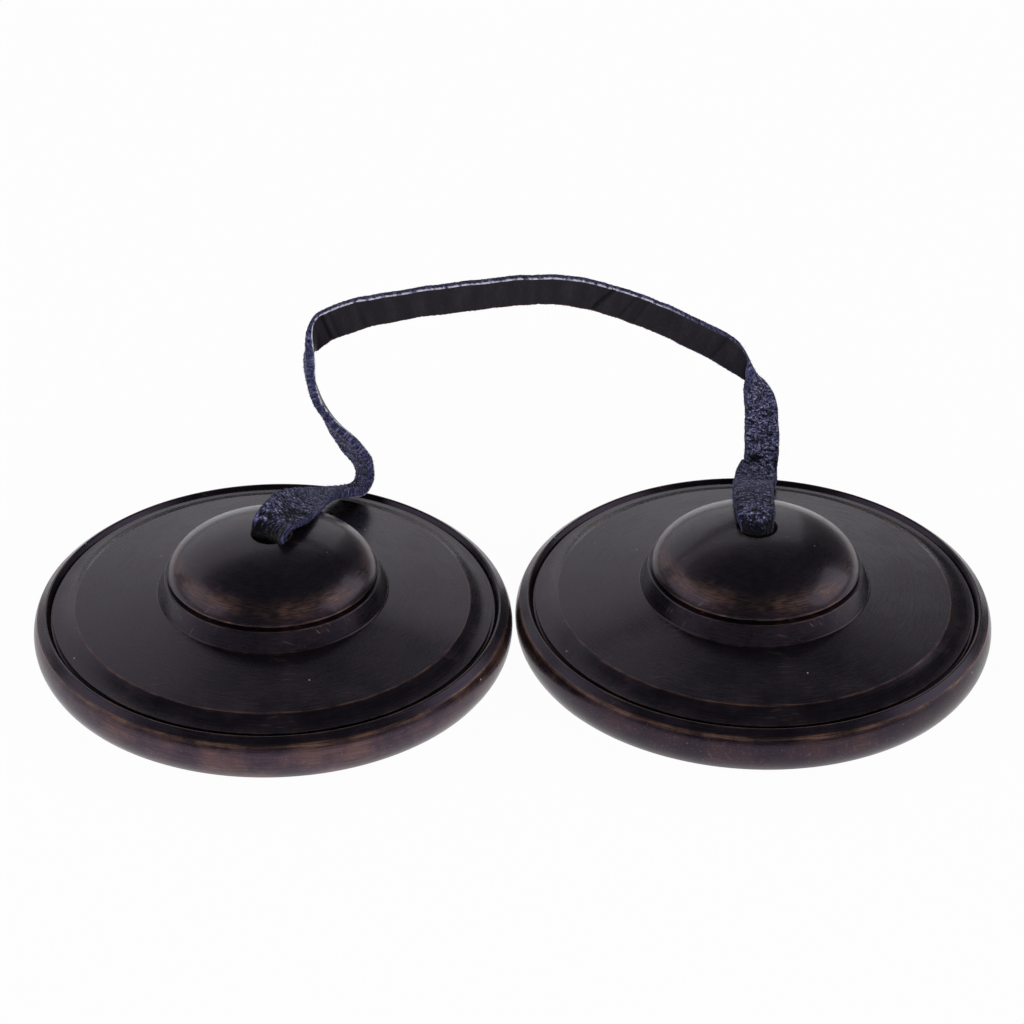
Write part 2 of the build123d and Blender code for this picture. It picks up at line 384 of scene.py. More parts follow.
    def tool_marks(self, tree: Tree, heading: Socket, radius: Socket, height: Socket) -> Socket:
        """Adds lathe marks, long round the axis and narrow across it.

        Args:
            tree: node tree of the finish.
            heading: unit vector from the axis.
            radius: distance from the axis in metres.
            height: height in metres.

        Returns:
            The marks, about 0.5.
        """
        across = chain(tree, "SUBTRACT", radius, height)
        spaced = chain(tree, "MULTIPLY", across, 1 / (self.ring_spacing * MM))
        lift = add_node(tree, "ShaderNodeCombineXYZ", {2: spaced}).outputs[0]
        wound = join_vectors(tree, "MULTIPLY_ADD", heading, (self.ring_breaks,) * 3, lift)
        return speckle(tree, wound, 1.0, detail=4.0, roughness=0.65)

    def rub(self, tree: Tree, radius: Socket, height: Socket, patches: Socket, rings: Socket) -> Socket:
        """Adds the rubbed edges, broken up where the patina has held.

        Args:
            tree: node tree of the finish.
            radius: distance from the axis in metres.
            height: height in metres.
            patches: coarse noise.
            rings: the lathe marks.

        Returns:
            How far the metal shows, from 0 to 1.
        """
        profile = add_node(tree, "ShaderNodeCombineXYZ", {0: radius, 1: height}).outputs[0]
        bands = []
        for ring in self.worn:
            away = join_vectors(tree, "DISTANCE", profile, (ring.radius * MM, ring.height * MM, 0))
            bands.append(remap(tree, away, (0.0, ring.reach * MM), (ring.strength, 0.0), "SMOOTHSTEP"))
        rubbed = chain(tree, "MAXIMUM", *bands)
        held = remap(tree, patches, self.hold_span, (self.hold_in_patches, 1.0))
        broken = remap(tree, rings, self.hold_span, (self.hold_in_rings, 1.0))
        return chain(tree, "MULTIPLY", held, broken, rubbed)

    def wall(self, tree: Tree, radius: Socket, height: Socket) -> Socket:
        """Finds the side wall, which has its own tone and is grittier than the top.

        Args:
            tree: node tree of the finish.
            radius: distance from the axis in metres.
            height: height in metres.

        Returns:
            1 on the wall, less on its shoulder, where the darker band is a painted reflection, and 0
            elsewhere.
        """
        top, starts = self.wall_top * MM, self.wall_starts * MM
        outward = remap(tree, radius, ((self.wall_starts - self.wall_fade) * MM, starts))
        shoulder = ((self.wall_top - self.wall_shoulder) * MM, top)
        # The darker band on the shoulder is a painted dark reflection
        painted_reflection_fade = remap(tree, height, shoulder, (1.0, self.shoulder_painted_reflection_share))
        under = remap(tree, height, (top, (self.wall_top + self.wall_brim) * MM), (1.0, 0.0))
        return chain(tree, "MULTIPLY", painted_reflection_fade, under, outward)

    def scratches(self, tree: Tree, place: Socket, patches: Socket) -> Socket:
        """Adds fine scratches from handling, in two directions, where the coarse noise is high.

        Args:
            tree: node tree of the finish.
            place: where on the piece, in metres.
            patches: coarse noise.

        Returns:
            How deep the scratch is, from 0 to 1.
        """
        handled = remap(tree, patches, self.scratched_span)
        cuts = []
        for run in self.scratch_runs:
            scale = tuple(1 / (size * MM) for size in (run.length, self.scratch_width, self.scratch_depth))
            stretch = {"Vector": place, "Rotation": (0, 0, run.turn), "Scale": scale}
            drawn_out = add_node(tree, "ShaderNodeMapping", stretch).outputs[0]
            streaks = speckle(tree, drawn_out, 1.0, detail=1.0)
            cuts.append(remap(tree, streaks, self.scratch_span, (0.0, self.scratch_strength)))
        return chain(tree, "MULTIPLY", chain(tree, "MAXIMUM", *cuts), handled)

    def specks(self, tree: Tree, place: Socket) -> Socket:
        """Scatters a few grains of pale dust.

        Args:
            tree: node tree of the finish.
            place: where on the piece, in metres.

        Returns:
            How much dust, from 0 to 1.
        """
        spread = {"Vector": place, "Scale": 1 / (self.dust_spacing * MM), "Randomness": 1.0}
        cells = add_node(tree, "ShaderNodeTexVoronoi", spread)
        near = remap(tree, cells.outputs["Distance"], self.dust_size, (self.dust_strength, 0.0))
        drawn = add_node(tree, "ShaderNodeSeparateColor", {0: cells.outputs["Color"]}).outputs[0]
        return chain(tree, "MULTIPLY", near, chain(tree, "GREATER_THAN", drawn, self.dust_free))


@dataclass(frozen=True)
class Suede:
    """Flesh side of dyed leather: short matted nap, matt, navy, with pale fibres, and black painted shade in
    its pits.

    Sizes are in millimetres.
    """

    # Colour lowest in the nap: painted shade in the pits
    painted_pit_shade: str = "040408"
    nap: str = "18182a"
    tip: str = "505078"
    fibre: str = "aeaecb"
    stops: tuple[float, ...] = (0.41, 0.48, 0.56, 0.68)
    fibre_size: float = 0.20
    fibre_share: float = 0.48

    def tone(self, tree: Tree) -> tuple[Socket, Socket]:
        """Adds the nap's colour, with painted shade between its ridges where the nap is low.

        Args:
            tree: node tree of the finish.

        Returns:
            The colour and the height that it follows.
        """
        place = add_node(tree, "ShaderNodeUVMap", uv_map="lie").outputs[0]
        ridges = add_node(tree, "ShaderNodeAttribute", attribute_name="nap").outputs["Fac"]
        fibres = speckle(tree, place, self.fibre_size, detail=3.0, roughness=0.65, distortion=0.8)
        height = average(tree, self.fibre_share, ridges, fibres)
        return ramp(tree, height, self.stops, (self.painted_pit_shade, self.nap, self.tip, self.fibre)), height

    def material(self) -> bpy.types.Material:
        """Makes the finish."""
        material, tree, shader = new_material(
            "dyed_suede", Roughness=0.95, Specular_IOR_Level=0.15, Sheen_Weight=0.08, Sheen_Roughness=0.6,
        )
        colour, height = self.tone(tree)
        tree.links.new(colour, shader.inputs["Base Color"])
        emboss(tree, shader, height, strength=0.8, depth=0.25)
        return material


@dataclass(frozen=True)
class Grain:
    """Hair side of dyed leather: smooth, closed, dark, with a dull gloss, fine wrinkles, and painted shade in
    their hollows and in creases.

    Sizes are in millimetres.
    """

    skin: str = "1e1b21"
    # Colour low in the wrinkles: painted shade in their hollows
    fold: str = "161418"
    scuff: str = "2b272d"
    stops: Point = (0.36, 0.50, 0.66)
    wrinkle: float = 1.9
    wrinkle_pull: Point = (1.0, 0.3, 1.0)
    pore: float = 0.30
    pore_share: float = 0.35
    crease_span: Span = (0.1, 0.45)
    painted_crease_shade: Span = (0.25, 1.0)

    def material(self) -> bpy.types.Material:
        """Makes the finish."""
        material, tree, shader = new_material("leather_grain", Roughness=0.55, Specular_IOR_Level=0.25)
        place = add_node(tree, "ShaderNodeUVMap", uv_map="lie").outputs[0]
        pulled = join_vectors(tree, "MULTIPLY", place, self.wrinkle_pull)
        folds = speckle(tree, pulled, self.wrinkle, detail=6.0, roughness=0.6)
        pores = speckle(tree, place, self.pore, detail=3.0, roughness=0.6)
        height = average(tree, self.pore_share, folds, pores)
        tone = ramp(tree, height, self.stops, (self.fold, self.skin, self.scuff))
        # Painted shade in the creases, and where the necks go into the holes, read from the nap attribute
        sunk = add_node(tree, "ShaderNodeAttribute", attribute_name="nap").outputs["Fac"]
        tone = shade(tree, tone, remap(tree, sunk, self.crease_span, self.painted_crease_shade))
        tree.links.new(tone, shader.inputs["Base Color"])
        emboss(tree, shader, height, strength=0.3, depth=0.12)
        return material


@dataclass(frozen=True)
class CutEdge:
    """Raw cut edge of the strap: navy felt, with a painted highlight, a pale line near the hair side.

    The highlight shows along the upper run, where the lower edge is brown. Sizes are in millimetres;
    the highlight's are depths under the strap's middle, the run's are distances along the strap.
    """

    nap: Suede = field(default_factory=Suede)
    felt: str = "18182a"
    felt_tip: str = "5c5c86"
    felt_share: float = 0.58
    felt_size: float = 0.34
    felt_span: Span = (0.40, 0.62)
    # Painted highlight along the upper edge, next to the hair side
    pale: str = "c2c0d2"
    brown: str = "4a3331"
    highlight_starts: float = 0.42
    highlight_ends: float = 0.50
    highlight_gaps: Span = (0.40, 0.54)
    highlight_in_gaps: float = 0.1
    run_starts: float = 34.0
    run_ends: float = 124.0
    run_fade: float = 8.0
    torn_size: float = 0.9
    torn_depth: float = 0.9

    def material(self) -> bpy.types.Material:
        """Makes the finish."""
        material, tree, shader = new_material("cut_leather_edge", Roughness=0.9, Specular_IOR_Level=0.15)
        # The nap's colour, with its painted shade in the pits
        tone, height = self.nap.tone(tree)
        place = add_node(tree, "ShaderNodeUVMap", uv_map="lie").outputs[0]
        parts = add_node(tree, "ShaderNodeSeparateXYZ", {0: place})
        along, across = parts.outputs["X"], parts.outputs["Y"]
        flecks = speckle(tree, place, self.felt_size, detail=3.0, roughness=0.6)
        flecks = remap(tree, flecks, self.felt_span)
        tone = tint(tree, self.felt_share, tone, tint(tree, flecks, self.felt, self.felt_tip))

        begun = remap(tree, along, (self.run_starts, self.run_starts + self.run_fade))
        ended = remap(tree, along, (self.run_ends, self.run_ends - self.run_fade))
        run = chain(tree, "MULTIPLY", begun, ended)
        upper = chain(tree, "GREATER_THAN", across, 0.0)
        lower = add_node(
            tree, "ShaderNodeMath", {0: run, 1: upper}, operation="SUBTRACT", use_clamp=True,
        ).outputs[0]

        torn = speckle(tree, place, self.torn_size, detail=4.0, roughness=0.7)
        ragged = {0: torn, 1: self.torn_depth, 2: chain(tree, "SUBTRACT", EDGE_SHIFT, across)}
        depth = add_node(tree, "ShaderNodeMath", ragged, operation="MULTIPLY_ADD").outputs[0]
        usual = self.torn_depth / 2
        # Painted highlight: a pale line near the hair side of the upper edge, broken by gaps
        line = remap(tree, depth, (self.highlight_starts + usual, self.highlight_ends + usual))
        gaps = remap(tree, torn, self.highlight_gaps, (self.highlight_in_gaps, 1.0))
        tone = tint(tree, chain(tree, "MULTIPLY", line, gaps, upper, run), tone, self.pale)
        tone = tint(tree, lower, tone, self.brown)
        tree.links.new(tone, shader.inputs["Base Color"])
        emboss(tree, shader, height, strength=0.3, depth=0.2)
        return material


@dataclass
class Cymbal:
    """One cymbal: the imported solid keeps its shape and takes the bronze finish."""

    side: Side

    def dress(self, bronze: PatinatedBronze) -> bpy.types.Object:
        """Gives the cymbal its finish.

        Args:
            bronze: the finish.

        Returns:
            The cymbal's object.
        """
        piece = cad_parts[f"{self.side.value}_cymbal"]
        piece.data.materials.clear()
        piece.data.materials.append(bronze.material(self.side))
        return piece


@dataclass(frozen=True)
class Station:
    """A point of the strap's route, in metres.

    The way is the direction from the strap's lower edge to its upper one. A cup bends both
    edges back from the suede side, or towards it where it is less than nothing.
    """

    place: Point
    way: Point
    width: float
    cup: float = 0.0


# Strap's route in metres from inside the left bell, out of its hole, back over the dome,
# up behind it and over to the right one
STRAP_ROUTE: tuple[Station, ...] = (
    Station((-0.0330, 0.0003, 0.0125), (0.88, -0.475, 0.0), 0.0033, -0.0005),
    Station((-0.0328, 0.0006, 0.0154), (0.86, -0.50, 0.0), 0.0042, -0.0008),
    Station((-0.0329, 0.0003, 0.0172), (0.82, -0.57, 0.0), 0.0048, -0.0010),
    Station((-0.0326, -0.0005, 0.0190), (0.77, -0.63, -0.04), 0.0057, -0.0010),
    Station((-0.0306, 0.0034, 0.0190), (0.82, -0.52, -0.24), 0.0066, -0.0005),
    Station((-0.0286, 0.0086, 0.0176), (0.82, -0.50, -0.22), 0.0053),
    Station((-0.0255, 0.0231, 0.0097), (0.60, -0.75, 0.22), 0.0038),
    Station((-0.0228, 0.0253, 0.0085), (0.45, -0.82, 0.32), 0.0040),
    Station((-0.0214, 0.0270, 0.0077), (0.32, -0.90, 0.30), 0.0044),
    Station((-0.0205, 0.0283, 0.0082), (0.25, -0.93, 0.28), 0.0053),
    Station((-0.0203, 0.0291, 0.0098), (0.40, -0.90, 0.15), 0.0052),
    Station((-0.0214, 0.0288, 0.0126), (0.70, -0.70, 0.10), 0.0052),
    Station((-0.0232, 0.0281, 0.0159), (0.65, -0.75, 0.10), 0.0051),
    Station((-0.0253, 0.0272, 0.0196), (0.34, -0.94, 0.05), 0.0050),
    Station((-0.0271, 0.0261, 0.0236), (0.15, -0.99, 0.0), 0.0049),
    Station((-0.0279, 0.0251, 0.0278), (0.12, -0.99, 0.0), 0.0048),
    Station((-0.0278, 0.0244, 0.0312), (0.10, -0.97, 0.20), 0.0048),
    Station((-0.0274, 0.0243, 0.0338), (-0.18, -0.55, 0.82), 0.0048),
    Station((-0.0262, 0.0242, 0.0358), (-0.33, -0.10, 0.94), 0.0048),
    Station((-0.0236, 0.0242, 0.0372), (-0.30, 0.0, 0.95), 0.0046),
    Station((-0.0188, 0.0241, 0.0388), (-0.24, 0.0, 0.97), 0.0044),
    Station((-0.0110, 0.0243, 0.0399), (-0.12, 0.0, 0.99), 0.0043),
    Station((-0.0030, 0.0245, 0.0409), (-0.10, 0.0, 0.99), 0.0043),
    Station((0.0046, 0.0247, 0.0415), (0.0, 0.0, 1.0), 0.0043),
    Station((0.0113, 0.0249, 0.0405), (0.30, 0.0, 0.95), 0.0043),
    Station((0.0198, 0.0251, 0.0371), (0.40, 0.0, 0.92), 0.0044),
    Station((0.0280, 0.0253, 0.0325), (0.40, 0.0, 0.92), 0.0045),
    Station((0.0316, 0.0254, 0.0300), (0.25, -0.03, 0.97), 0.0046),
    Station((0.0334, 0.0257, 0.0282), (0.0, -0.15, 0.99), 0.0046),
    Station((0.0348, 0.0263, 0.0259), (-0.40, -0.75, 0.50), 0.0047),
    Station((0.0356, 0.0271, 0.0231), (-0.88, -0.40, 0.20), 0.0047),
    Station((0.0361, 0.0278, 0.0201), (-0.99, -0.12, 0.05), 0.0047),
    Station((0.0365, 0.0288, 0.0158), (-1.0, -0.05, 0.0), 0.0049),
    Station((0.0367, 0.0296, 0.0120), (-1.0, 0.0, 0.10), 0.0049),
    Station((0.0367, 0.0294, 0.0092), (-0.95, 0.0, 0.30), 0.0050),
    Station((0.0365, 0.0282, 0.0079), (-0.90, 0.0, 0.42), 0.0052),
    Station((0.0362, 0.0266, 0.0090), (-0.88, 0.0, 0.47), 0.0055),
    Station((0.0359, 0.0256, 0.0112), (-0.88, 0.0, 0.47), 0.0057),
    Station((0.0353, 0.0236, 0.0119), (-0.93, 0.03, 0.36), 0.0056),
    Station((0.0346, 0.0203, 0.0120), (-1.0, 0.0, 0.15), 0.0056),
    Station((0.0338, 0.0146, 0.0150), (-1.0, -0.05, 0.05), 0.0056),
    Station((0.0332, 0.0086, 0.0178), (-1.0, -0.05, 0.0), 0.0057, 0.0001),
    Station((0.0329, 0.0038, 0.0193), (-1.0, 0.0, 0.0), 0.0055, 0.0003),
    Station((0.0328, 0.0002, 0.0197), (-1.0, 0.0, 0.0), 0.0052, 0.0006),
    Station((0.0329, -0.0013, 0.0184), (-1.0, 0.0, 0.0), 0.0046, 0.0008),
    Station((0.0330, -0.0011, 0.0160), (-1.0, 0.0, 0.0), 0.0040, 0.0008),
    Station((0.0330, -0.0006, 0.0125), (-1.0, 0.0, 0.0), 0.0036, 0.0006),
)


def read_spline(places: Sequence[Point], steps: int = 24) -> np.ndarray:
    """Reads points from the smooth line that a row of control points gives.

    Args:
        places: control points in metres.
        steps: points per stretch of the line.

    Returns:
        Points along the line, one row each.
    """
    curve = bpy.data.curves.new("line", "CURVE")
    curve.dimensions = "3D"
    curve.resolution_u = steps
    spline = curve.splines.new("NURBS")
    spline.points.add(len(places) - 1)
    for point, place in zip(spline.points, places):
        point.co = (*place, 1.0)
    spline.use_endpoint_u = True
    spline.order_u = 3
    holder = bpy.data.objects.new("line", curve)
    mesh = bpy.data.meshes.new_from_object(holder)
    line = np.array([v.co[:] for v in mesh.vertices])
    bpy.data.objects.remove(holder)
    bpy.data.curves.remove(curve)
    bpy.data.meshes.remove(mesh)
    return line


@dataclass
class Line:
    """A smooth line with the strap's width, its direction and its cup at every step.

    Sizes are in metres. Directions, widths and cups ease from station to station over the easing
    length. The upper run is what lies higher than its least height.
    """

    EASING = 0.6 * MM
    UPPER_RUN_HEIGHT = 30.0 * MM
    ROUNDING = 1e-9

    places: np.ndarray
    ways: np.ndarray
    widths: np.ndarray
    cups: np.ndarray
    along: np.ndarray
    stations_at: np.ndarray

    @classmethod
    def through(cls, route: Sequence[Station], step: float) -> "Line":
        """Lays a line along a route.

        Args:
            route: the route's points.
            step: spacing of the line's points in metres.

        Returns:
            The line, evenly spaced.
        """
        raw = read_spline([station.place for station in route])
        count = len(route)
        shares = np.linspace(0, count - 2, len(raw))
        marks = np.concatenate([[0], np.arange(count - 2) + 0.5, [count - 2]])
        travelled = np.concatenate([[0], np.cumsum(np.linalg.norm(np.diff(raw, axis=0), axis=1))])
        even = np.linspace(0, travelled[-1], int(travelled[-1] / step) + 1)
        stations_at = np.interp(marks, shares, travelled)
        places = np.stack([np.interp(even, travelled, raw[:, k]) for k in range(3)], axis=1)

        kept = [(*Vector(station.way).normalized(), station.width, station.cup) for station in route]
        spread = np.stack([np.interp(even, stations_at, column) for column in np.array(kept).T], axis=1)
        reach = max(1, int(cls.EASING / step))
        kernel = np.hanning(2 * reach + 3)[1:-1]
        kernel /= kernel.sum()
        padded = np.pad(spread, ((reach, reach), (0, 0)), mode="edge")
        spread = np.stack([np.convolve(column, kernel, "valid") for column in padded.T], axis=1)
        ways = spread[:, :3] / np.linalg.norm(spread[:, :3], axis=1)[:, None]
        return cls(places, ways, spread[:, 3], spread[:, 4], even, stations_at)

    def part(self, start: float, end: float) -> "Line":
        """Cuts a stretch out of the line.

        Args:
            start: distance along the line where it begins, in metres.
            end: distance where it ends.

        Returns:
            That stretch, with distances as before.
        """
        kept = (self.along >= start - self.ROUNDING) & (self.along <= end + self.ROUNDING)
        columns = (self.places, self.ways, self.widths, self.cups, self.along)
        return Line(*(column[kept] for column in columns), self.stations_at)

    def upper_run_at(self, x: float) -> float:
        """Distance along the line at which its upper run passes a place.

        Args:
            x: the place, in metres from the middle of the pair.

        Returns:
            The distance in metres.
        """
        upper = self.places[:, 2] > self.UPPER_RUN_HEIGHT
        return float(self.along[np.argmin(np.where(upper, np.abs(self.places[:, 0] - x), 1.0))])


# Height that a place of the strap is raised by: from distance along, distance across and face
Lift = Callable[[float, float, Face], float]


@dataclass(frozen=True)
class RingPoint:
    """A point of the strap's section: share of the half width, reach past it, and height over the middle."""

    share: float
    reach: float
    height: float
    face: Face


@dataclass
class Skin:
    """A band's mesh as it grows.

    Each vertex has the way out of the leather, its place in the strap's map, the same for faces of
    the cut edges, and its nap. Each face has the number of its finish.
    """

    vertices: list[Vector] = field(default_factory=list)
    outs: list[Vector] = field(default_factory=list)
    lie: list[Span] = field(default_factory=list)
    rim: list[Span] = field(default_factory=list)
    naps: list[float] = field(default_factory=list)
    faces: list[tuple[int, ...]] = field(default_factory=list)
    slots: list[int] = field(default_factory=list)


@dataclass
class Leather:
    """The strap's leather: three finishes and the way that a band of it is meshed. Sizes are in metres.

    Real nap is finer than these ridges, tufts and fibres, which are as coarse as it takes to show.
    """

    NAP_SHARES = {Face.SUEDE: 1.0, Face.CUT_EDGE: 0.35, Face.GRAIN: 0.10}
    CORNER_ANGLES = (60, 30, -30, -60)
    FIBRE_TURNS = (0.0, 2.1, 4.2)

    suede: Suede = field(default_factory=Suede)
    grain: Grain = field(default_factory=Grain)
    cut_edge: CutEdge = field(default_factory=CutEdge)
    thickness: float = 1.2 * MM
    edge_round: float = 0.22 * MM
    suede_points: int = 37
    grain_points: int = 15
    nap_height: float = 0.20 * MM
    nap_level: float = 0.28
    ridge_size: float = 0.50 * MM
    ridge_slant: float = 0.3
    ridge_stretch: float = 2.2
    tuft_size: float = 0.28 * MM
    tuft_share: float = 0.75
    edge_wave: float = 0.14 * MM
    edge_wave_size: float = 2.6 * MM
    edge_apart: float = 3.0
    fibres_per_mm: float = 90.0
    fibre_length: Span = (0.12 * MM, 0.36 * MM)
    fibre_radius: float = 0.022 * MM
    fibre_lift: float = 0.7
    fibre_nap: float = 0.4
    seed: int = 11
    finishes: list[bpy.types.Material] = field(default_factory=list)

    def materials(self) -> list[bpy.types.Material]:
        """Materials in the order of the strap's slots, made once."""
        if not self.finishes:
            self.finishes = [self.suede.material(), self.grain.material(), self.cut_edge.material()]
        return self.finishes

    def section(self) -> list[RingPoint]:
        """Points round the strap's section, from the lower edge over the suede side and back."""
        half = self.thickness / 2
        inner = half - self.edge_round
        corners = []
        for angle in map(math.radians, self.CORNER_ANGLES):
            height = math.copysign(inner, angle) + self.edge_round * math.sin(angle)
            corners.append((self.edge_round * math.cos(angle), height))
        ring = [RingPoint(share, 0.0, half, Face.SUEDE) for share in np.linspace(-1, 1, self.suede_points)]
        ring += [RingPoint(1.0, reach, height, Face.CUT_EDGE) for reach, height in corners]
        ring += [RingPoint(share, 0.0, -half, Face.GRAIN) for share in np.linspace(1, -1, self.grain_points)]
        ring += [RingPoint(-1.0, -reach, height, Face.CUT_EDGE) for reach, height in corners[::-1]]
        return ring

    def band(self, name: str, line: Line, lifts: Lift | None = None) -> bpy.types.Object:
        """Meshes a band of leather along a line.

        Args:
            name: the piece's name.
            line: where the band's middle runs, with its width and direction.
            lifts: what raises the surface, or None.

        Returns:
            The band as a closed mesh.
        """
        skin = Skin()
        ring = self.section()
        rows = len(line.places)
        self.lay_rows(skin, ring, line, lifts)
        self.join_rows(skin, ring, rows)

        rng = random.Random(self.seed)
        fuzzy = [k for k, point in enumerate(ring) if point.face is not Face.GRAIN]
        for _ in range(int(self.fibres_per_mm * (line.along[-1] - line.along[0]) / MM)):
            root = rng.randrange(rows) * len(ring) + rng.choice(fuzzy)
            self.add_fibre(skin, root, rng)
        return self.piece(name, skin)

    def lay_rows(self, skin: Skin, ring: list[RingPoint], line: Line, lifts: Lift | None) -> None:
        """Lays the band's vertices, a ring of them at each step of the line.

        Args:
            skin: the band's mesh, which it adds to.
            ring: points of the section.
            line: where the band's middle runs.
            lifts: what raises the surface, or None.
        """
        ahead = np.gradient(line.places, axis=0)
        ahead /= np.linalg.norm(ahead, axis=1)[:, None]
        suede_out = np.cross(line.ways, ahead)
        suede_out /= np.linalg.norm(suede_out, axis=1)[:, None]
        for i, place in enumerate(line.places):
            along = line.along[i]
            half_width = line.widths[i] / 2 - self.edge_round
            across, out_of_suede = Vector(line.ways[i]), Vector(suede_out[i])
            for point in ring:
                wave = noise.noise(Vector((along / self.edge_wave_size, self.edge_apart * point.share, 0.5)))
                sideways = point.share * (half_width + self.edge_wave * wave) + point.reach
                bent = point.height - line.cups[i] * point.share ** 2
                at = Vector(place) + across * sideways + out_of_suede * bent
                out = out_of_suede * (1 if point.height > 0 else -1)
                if point.face is Face.CUT_EDGE:
                    out = across * (1 if point.share > 0 else -1)
                nap = self.nap(along, sideways, point.height)
                shift = self.nap_height * self.NAP_SHARES[point.face] * nap
                if lifts is not None:
                    lift = lifts(along, sideways, point.face)
                    shift += lift
                    # On the grain side the nap attribute holds the crease depth, which the grain finish turns
                    # into painted shade
                    if point.face is Face.GRAIN:
                        nap = lift / self.nap_height
                skin.naps.append(nap)
                skin.vertices.append(at + out * shift)
                skin.outs.append(out)
                up = GRAIN_SHIFT if point.face is Face.GRAIN else 0.0
                skin.lie.append((along / MM, sideways / MM + up))
                skin.rim.append((along / MM, math.copysign(EDGE_SHIFT, point.share) + point.height / MM))

    def join_rows(self, skin: Skin, ring: list[RingPoint], rows: int) -> None:
        """Lays the band's faces between its rings of vertices, and closes both ends.

        Args:
            skin: the band's mesh, which it adds to.
            ring: points of the section.
            rows: number of rings.
        """
        size = len(ring)
        for here in range(0, (rows - 1) * size, size):
            there = here + size
            for k in range(size):
                after = (k + 1) % size
                skin.faces.append((here + k, here + after, there + after, there + k))
                pair = {ring[k].face, ring[after].face}
                skin.slots.append(Face.CUT_EDGE.value if Face.CUT_EDGE in pair else ring[k].face.value)
        skin.faces.append(tuple(range(size))[::-1])
        skin.faces.append(tuple(range((rows - 1) * size, rows * size)))
        skin.slots += [Face.CUT_EDGE.value] * 2

    def nap(self, along: float, sideways: float, height: float) -> float:
        """Height of the matted nap, in ridges that lie aslant across the strap.

        Args:
            along: distance along the strap in metres.
            sideways: distance across it.
            height: height over the strap's middle.

        Returns:
            The height as a share of the nap's, about 0.
        """
        ridge = Vector((
            (along + self.ridge_slant * sideways) / self.ridge_size,
            sideways / (self.ridge_stretch * self.ridge_size),
            height / MM,
        ))
        tuft = Vector((along, sideways, height)) / self.tuft_size
        return self.nap_level - abs(noise.noise(ridge)) + self.tuft_share * noise.noise(tuft)

    def add_fibre(self, skin: Skin, root: int, rng: random.Random) -> None:
        """Adds one loose fibre, a thin spike with three sides.

        Args:
            skin: the band's mesh, which it adds to.
            root: number of the vertex that it grows from.
            rng: source of chance.
        """
        stray = Vector((rng.uniform(-1, 1), rng.uniform(-1, 1), rng.uniform(-1, 1)))
        aim = (skin.outs[root] * self.fibre_lift + stray).normalized()
        side = aim.orthogonal().normalized() * self.fibre_radius
        other = aim.cross(side)
        foot = skin.vertices[root] - skin.outs[root] * 2 * self.fibre_radius
        first = len(skin.vertices)
        for turn in self.FIBRE_TURNS:
            skin.vertices.append(foot + side * math.cos(turn) + other * math.sin(turn))
        skin.vertices.append(foot + aim * rng.uniform(*self.fibre_length))
        skin.lie += [skin.lie[root]] * 4
        skin.rim += [(0.0, 0.0)] * 4
        skin.naps += [self.fibre_nap] * 4
        base, tip = (first, first + 1, first + 2), first + 3
        skin.faces.append(base[::-1])
        skin.faces += [(base[k], base[(k + 1) % 3], tip) for k in range(3)]
        skin.slots += [Face.SUEDE.value] * 4

    def piece(self, name: str, skin: Skin) -> bpy.types.Object:
        """Makes the mesh object of a band.

        Args:
            name: the piece's name.
            skin: its mesh.

        Returns:
            The object, with its faces outward.
        """
        mesh = bpy.data.meshes.new(name)
        mesh.from_pydata([v[:] for v in skin.vertices], [], skin.faces)
        for material in self.materials():
            mesh.materials.append(material)
        mesh.polygons.foreach_set("material_index", skin.slots)
        mesh.polygons.foreach_set("use_smooth", [True] * len(skin.faces))
        layer = mesh.uv_layers.new(name="lie")
        for polygon in mesh.polygons:
            chart = skin.rim if polygon.material_index == Face.CUT_EDGE.value else skin.lie
            for loop in polygon.loop_indices:
                layer.data[loop].uv = chart[mesh.loops[loop].vertex_index]
        mesh.update()
        piece = bpy.data.objects.new(name, mesh)
        bpy.context.scene.collection.objects.link(piece)
        bpy.ops.object.select_all(action="DESELECT")
        bpy.context.view_layer.objects.active = piece
        piece.select_set(True)
        bpy.ops.object.mode_set(mode="EDIT")
        bpy.ops.mesh.select_all(action="SELECT")
        bpy.ops.mesh.normals_make_consistent(inside=False)
        bpy.ops.object.mode_set(mode="OBJECT")
        piece.select_set(False)
        heights = piece.data.attributes.new("nap", "FLOAT", "POINT")
        heights.data.foreach_set("value", [0.5 + 0.5 * nap for nap in skin.naps])
        return piece


@dataclass(frozen=True)
class Crease:
    """A crease across the strap's upper run. Sizes are in metres; slant is drift along per length across."""

    x: float
    depth: float
    spread: float = 0.35 * MM
    slant: float = 0.0


@dataclass(frozen=True)
class Fold:
    """A sharp fold behind a dome: number of its station, and share of the wrinkles that it has."""

    station: int
    share: float


